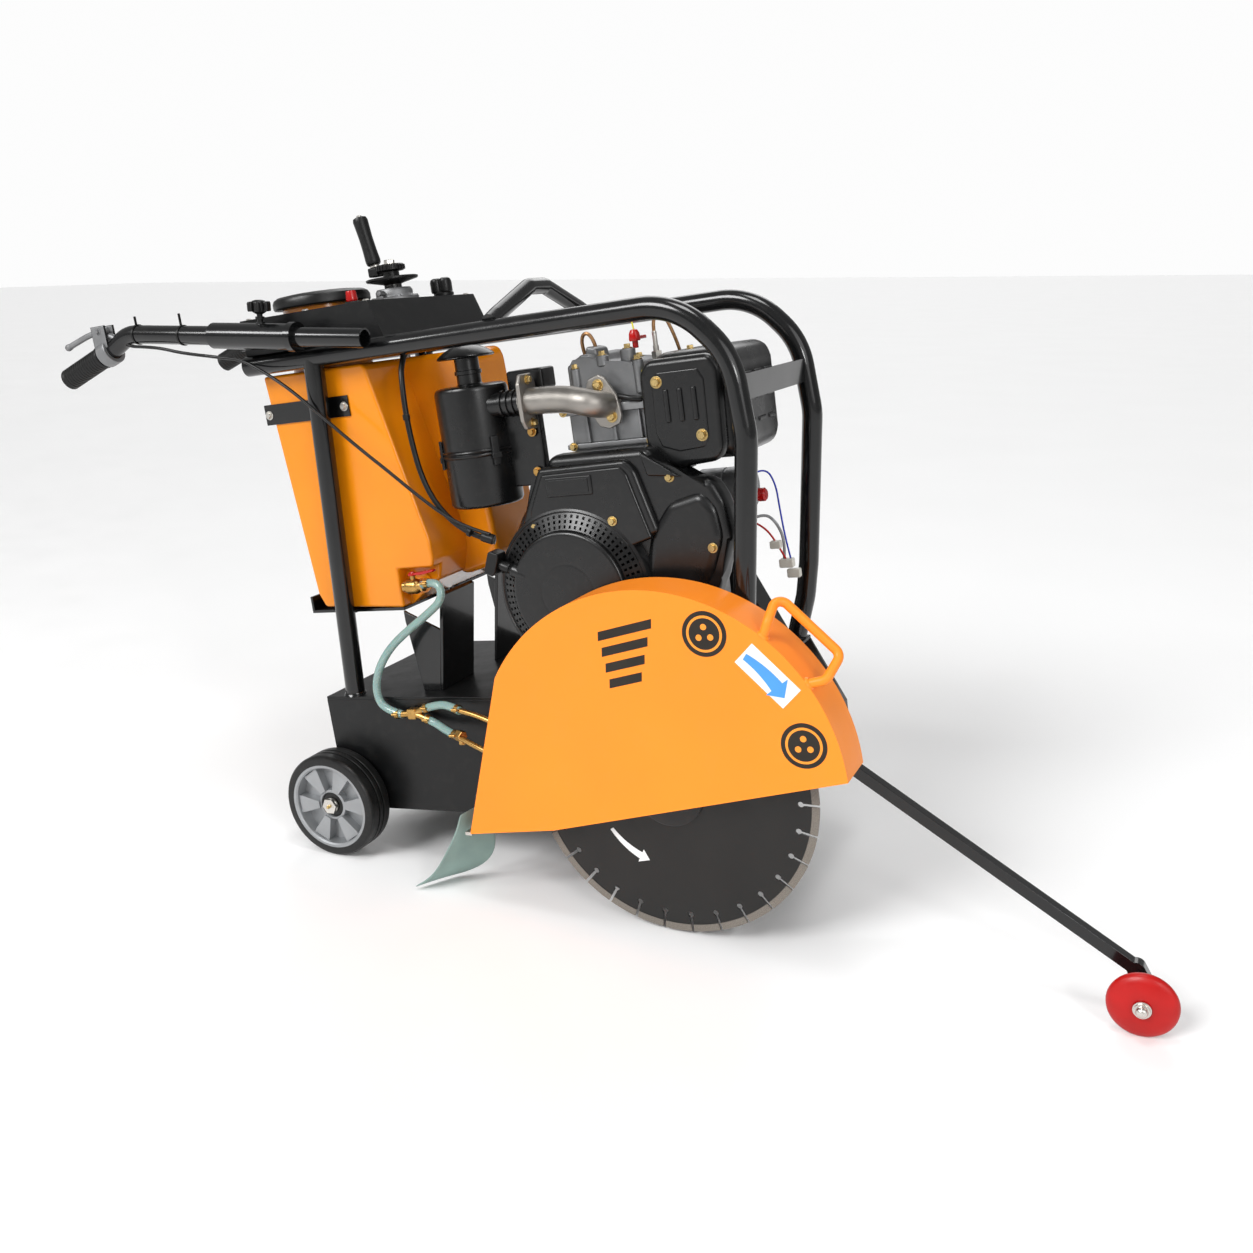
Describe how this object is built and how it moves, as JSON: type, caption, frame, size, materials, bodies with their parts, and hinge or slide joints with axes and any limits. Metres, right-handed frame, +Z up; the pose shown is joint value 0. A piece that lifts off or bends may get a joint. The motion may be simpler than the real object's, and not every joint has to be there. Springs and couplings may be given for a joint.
{
  "type": "concrete cut-off saw",
  "caption": "Walk-behind concrete cut-off saw: diesel engine in a tube cage, diamond blade under an orange lift-up guard, amber water tank, folding front guide wheel and telescoping handlebars.",
  "frame": {"origin": "on the floor, at the centre of the machine's bounding box", "axes": "+X forward in the direction of cutting, -Y the blade side, +Z up"},
  "size_m": [2.0667, 0.557, 1.1706],
  "materials": {
    "frame_black": "gloss black enamel",
    "guard_orange": "satin orange powder coat",
    "tank_amber": "rotomoulded amber plastic",
    "engine_black": "semi-gloss black enamel",
    "cast_aluminium": "bead-blasted casting",
    "zinc_steel": "zinc plated",
    "blade_steel": "dark lacquered core with sintered segments",
    "wheel_tyre": "moulded polyurethane",
    "wheel_rim": "cast grey",
    "grip_rubber": "ribbed rubber",
    "black_plastic": "moulded, fine grain",
    "red_plastic": "moulded red",
    "brass": "turned",
    "hose_clear": "translucent PVC with braid",
    "flap_rubber": "grey-green rubber sheet",
    "cable_black": "PVC jacket",
    "belt_rubber": "V-belt"
  },
  "bodies": {
    "frame": {"chassis_deck": "frame_black", "chassis_panels": "frame_black", "rear_axle": "zinc_steel", "cage_near": "frame_black", "cage_far": "frame_black", "cage_braces": "frame_black", "bar_sleeve_near": "frame_black", "bar_sleeve_far": "frame_black", "console_box": "frame_black", "water_tank": "tank_amber", "tank_support": "frame_black", "crank_collar": "cast_aluminium", "engine_crankcase": "cast_aluminium", "engine_cylinder": "cast_aluminium", "engine_shroud": "engine_black", "recoil_cover": "engine_black", "intake_elbow": "cast_aluminium", "air_filter": "engine_black", "muffler": "engine_black", "starter_motor": "cast_aluminium", "drive_belts": "belt_rubber", "belt_guard": "frame_black", "arbor_bearings": "cast_aluminium", "water_hoses": "hose_clear", "water_fittings": "brass", "splash_flap": "flap_rubber", "control_cables": "cable_black", "machine_bolts": "zinc_steel"},
    "rear_wheel_near": {"rear_tyre_near": "wheel_tyre", "rear_rim_near": "wheel_rim"},
    "rear_wheel_far": {"rear_tyre_far": "wheel_tyre", "rear_rim_far": "wheel_rim"},
    "swing_frame": {"swing_frame": "frame_black"},
    "front_wheel_near": {"front_wheel_near": "wheel_tyre"},
    "front_wheel_far": {"front_wheel_far": "wheel_tyre"},
    "depth_nut": {"depth_nut": "zinc_steel"},
    "depth_crank": {"depth_screw": "zinc_steel", "crank_wheel": "black_plastic"},
    "crank_grip": {"crank_grip": "black_plastic"},
    "blade_arbor": {"blade_arbor": "zinc_steel", "arbor_pulley": "zinc_steel", "blade_flanges": "zinc_steel", "saw_blade": "blade_steel"},
    "engine_pulley": {"engine_pulley": "zinc_steel"},
    "blade_guard": {"blade_guard": "guard_orange"},
    "guide_arm": {"guide_arm": "frame_black"},
    "guide_wheel": {"guide_wheel": "red_plastic"},
    "tank_lid": {"tank_lid": "black_plastic"},
    "stop_button": {"stop_button": "red_plastic"},
    "throttle_dial": {"throttle_dial": "black_plastic"},
    "handlebar_near": {"handlebar_near": "frame_black", "grip_near": "grip_rubber"},
    "handlebar_far": {"handlebar_far": "frame_black", "grip_far": "grip_rubber"},
    "throttle_lever": {"throttle_lever": "cast_aluminium"},
    "star_knob_near": {"star_knob_near": "black_plastic"},
    "star_knob_far": {"star_knob_far": "black_plastic"},
    "valve_lever": {"valve_lever": "red_plastic"},
    "decompression_lever": {"decompression_lever": "red_plastic"},
    "recoil_grip": {"recoil_grip": "black_plastic"}
  },
  "joints": [
    {"name": "rear_wheel_near_spin", "type": "hinge", "parent": "frame", "child": "rear_wheel_near", "pos_m": [-0.4448, -0.2115, 0.1], "axis": [0, 1, 0], "continuous": true},
    {"name": "rear_wheel_far_spin", "type": "hinge", "parent": "frame", "child": "rear_wheel_far", "pos_m": [-0.4448, 0.2485, 0.1], "axis": [0, 1, 0], "continuous": true},
    {"name": "swing_tilt", "type": "hinge", "parent": "frame", "child": "swing_frame", "pos_m": [-0.14816, 0.0185, 0.14505], "axis": [0, -1, 0], "range_deg": [0, 30.1]},
    {"name": "front_wheel_near_spin", "type": "hinge", "parent": "swing_frame", "child": "front_wheel_near", "pos_m": [0.13373, -0.1305, 0.075], "axis": [0, 1, 0], "continuous": true},
    {"name": "front_wheel_far_spin", "type": "hinge", "parent": "swing_frame", "child": "front_wheel_far", "pos_m": [0.13373, 0.1675, 0.075], "axis": [0, 1, 0], "continuous": true},
    {"name": "nut_travel", "type": "slide", "parent": "frame", "child": "depth_nut", "axis": [-0.1336, 0, 0.991], "range_m": [-0.0733, 0]},
    {"name": "depth_crank_turn", "type": "hinge", "parent": "frame", "child": "depth_crank", "pos_m": [-0.35068, 0.0185, 0.61722], "axis": [-0.1336, 0, 0.991], "range_deg": [0, 2608.9]},
    {"name": "crank_grip_spin", "type": "hinge", "parent": "depth_crank", "child": "crank_grip", "pos_m": [-0.44606, 0.0185, 1.0776], "axis": [-0.3037, 0, 0.9528], "continuous": true},
    {"name": "blade_spin", "type": "hinge", "parent": "frame", "child": "blade_arbor", "pos_m": [0.25217, 0.0185, 0.25554], "axis": [0, 1, 0], "continuous": true},
    {"name": "engine_pulley_spin", "type": "hinge", "parent": "frame", "child": "engine_pulley", "pos_m": [0.0434, 0.2445, 0.55028], "axis": [0, 1, 0], "continuous": true},
    {"name": "guard_lift", "type": "hinge", "parent": "frame", "child": "blade_guard", "pos_m": [-0.09618, -0.1815, 0.29837], "axis": [0, -1, 0], "range_deg": [0, 40]},
    {"name": "guide_arm_fold", "type": "hinge", "parent": "frame", "child": "guide_arm", "pos_m": [0.40887, -0.1775, 0.3917], "axis": [0, -1, 0], "range_deg": [0, 110]},
    {"name": "guide_wheel_spin", "type": "hinge", "parent": "guide_arm", "child": "guide_wheel", "pos_m": [0.98339, -0.2345, 0.05002], "axis": [0, 1, 0], "continuous": true},
    {"name": "tank_lid_lift", "type": "slide", "parent": "frame", "child": "tank_lid", "axis": [-0.1336, 0, 0.991], "range_m": [0, 0.055]},
    {"name": "stop_button_press", "type": "slide", "parent": "frame", "child": "stop_button", "axis": [0.1336, 0, -0.991], "range_m": [0, 0.005], "stiffness_N_per_m": 600},
    {"name": "throttle_dial_turn", "type": "hinge", "parent": "frame", "child": "throttle_dial", "pos_m": [-0.36258, 0.1185, 1.02428], "axis": [-0.1336, 0, 0.991], "range_deg": [0, 90]},
    {"name": "handlebar_near_slide", "type": "slide", "parent": "frame", "child": "handlebar_near", "axis": [-1, 0, 0], "range_m": [-0.03, 0.1]},
    {"name": "handlebar_far_slide", "type": "slide", "parent": "frame", "child": "handlebar_far", "axis": [-1, 0, 0], "range_m": [-0.03, 0.1]},
    {"name": "throttle_lever_squeeze", "type": "hinge", "parent": "handlebar_near", "child": "throttle_lever", "pos_m": [-0.91713, -0.201, 0.96867], "axis": [0, -1, 0], "range_deg": [0, 7], "stiffness_Nm_per_rad": 4},
    {"name": "star_knob_near_turn", "type": "hinge", "parent": "frame", "child": "star_knob_near", "pos_m": [-0.54315, -0.1965, 0.96405], "axis": [0, 0, 1], "continuous": true},
    {"name": "star_knob_far_turn", "type": "hinge", "parent": "frame", "child": "star_knob_far", "pos_m": [-0.54315, 0.2335, 0.96405], "axis": [0, 0, 1], "continuous": true},
    {"name": "valve_lever_turn", "type": "hinge", "parent": "frame", "child": "valve_lever", "pos_m": [-0.29678, -0.1375, 0.54376], "axis": [0.1336, 0, -0.991], "range_deg": [0, 90]},
    {"name": "decompression_lever_turn", "type": "hinge", "parent": "frame", "child": "decompression_lever", "pos_m": [0.10716, -0.0415, 0.96048], "axis": [-0.1336, 0, 0.991], "range_deg": [0, 60], "stiffness_Nm_per_rad": 0.05},
    {"name": "recoil_pull", "type": "slide", "parent": "frame", "child": "recoil_grip", "axis": [-0.9689, 0, 0.2473], "range_m": [0, 0.05], "stiffness_N_per_m": 60}
  ],
  "couplings": [
    {"joint": "nut_travel", "follows": "depth_crank_turn", "m_per_rad": -0.0015915},
    {"joint": "swing_tilt", "follows": "depth_crank_turn", "ratio": 0.011499},
    {"joint": "engine_pulley_spin", "follows": "blade_spin", "ratio": 1.22}
  ]
}
